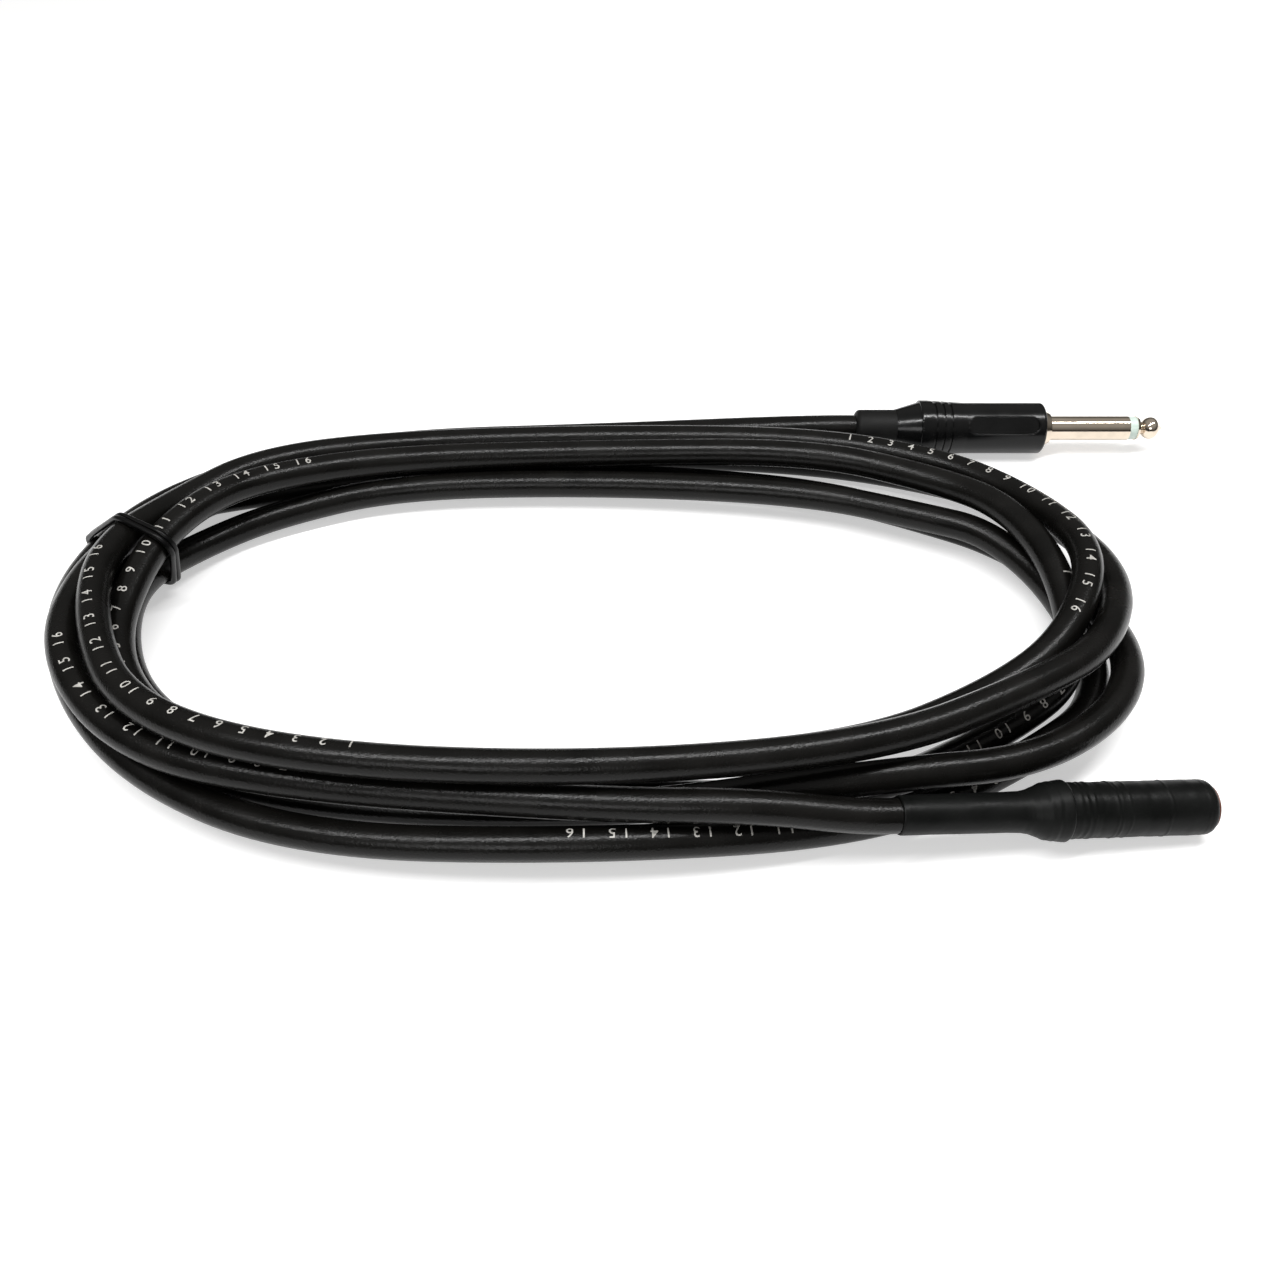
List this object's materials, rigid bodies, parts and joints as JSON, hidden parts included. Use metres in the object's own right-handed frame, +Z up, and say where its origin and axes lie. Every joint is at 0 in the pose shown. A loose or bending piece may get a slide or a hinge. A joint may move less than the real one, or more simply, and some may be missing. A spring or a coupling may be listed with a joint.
{
  "type": "instrument cable",
  "caption": "Coiled, tied instrument cable with a screw-barrel jack plug at one end and a sleeved line socket at the other.",
  "frame": {"origin": "the middle of the part's footprint, on the surface that the coiled cable lies on", "axes": "+Z up; +X along the coil's long way, the way the plug's tip points; +Y towards the side of the coil that the plug lies on"},
  "size_m": [0.2736, 0.1488, 0.0258],
  "materials": {
    "jacket": "satin, fine grain",
    "tie": "matte",
    "nickel": "polished",
    "black_metal": "satin gloss",
    "boot_rubber": "matte",
    "shrink": "matte, slightly wrinkled",
    "insulator": "smooth",
    "liner_card": "matte",
    "brass": "stamped",
    "copper": "bare wire",
    "core_insulation": "smooth",
    "solder": "bright",
    "sealant": "satin"
  },
  "bodies": {
    "cable": {"cable_coil": "jacket", "cable_tie": "tie", "plug_sleeve": "nickel", "plug_tip": "nickel", "plug_tip_ring": "insulator", "plug_rod_tube": "insulator", "plug_ground_lug": "brass", "plug_washer": "insulator", "plug_tip_lug": "brass", "plug_chuck": "liner_card", "plug_lead_jacket": "jacket", "plug_lead_shield": "copper", "plug_core_insulation": "core_insulation", "plug_core_conductor": "copper", "plug_solder": "solder", "socket_sleeve": "nickel", "socket_body": "liner_card", "socket_tip_lug": "brass", "socket_ground_lug": "brass", "socket_lead_jacket": "jacket", "socket_lead_shield": "copper", "socket_core_insulation": "core_insulation", "socket_core_conductor": "copper", "socket_solder": "solder", "socket_neck_shrink": "shrink", "socket_body_shrink": "shrink", "socket_seal": "sealant"},
    "plug_liner": {"plug_liner": "liner_card"},
    "plug_shell": {"plug_barrel": "black_metal", "plug_boot": "boot_rubber"},
    "tip_spring": {"socket_tip_spring": "brass"}
  },
  "joints": [
    {"name": "plug_shell_slide", "type": "slide", "parent": "cable", "child": "plug_liner", "axis": [-1, 0, 0], "range_m": [0, 0.006]},
    {"name": "plug_shell_turn", "type": "hinge", "parent": "plug_liner", "child": "plug_shell", "pos_m": [0.07572, 0.06708, 0.00735], "axis": [-1, 0, 0], "range_deg": [0, 2880]},
    {"name": "tip_spring_flex", "type": "hinge", "parent": "cable", "child": "tip_spring", "pos_m": [0.0785, -0.06254, 0.0118], "axis": [0.1011, -0.9949, 0], "range_deg": [0, 6], "stiffness_Nm_per_rad": 0.05}
  ],
  "couplings": [
    {"joint": "plug_shell_turn", "follows": "plug_shell_slide", "rad_per_m": 8377.5}
  ]
}
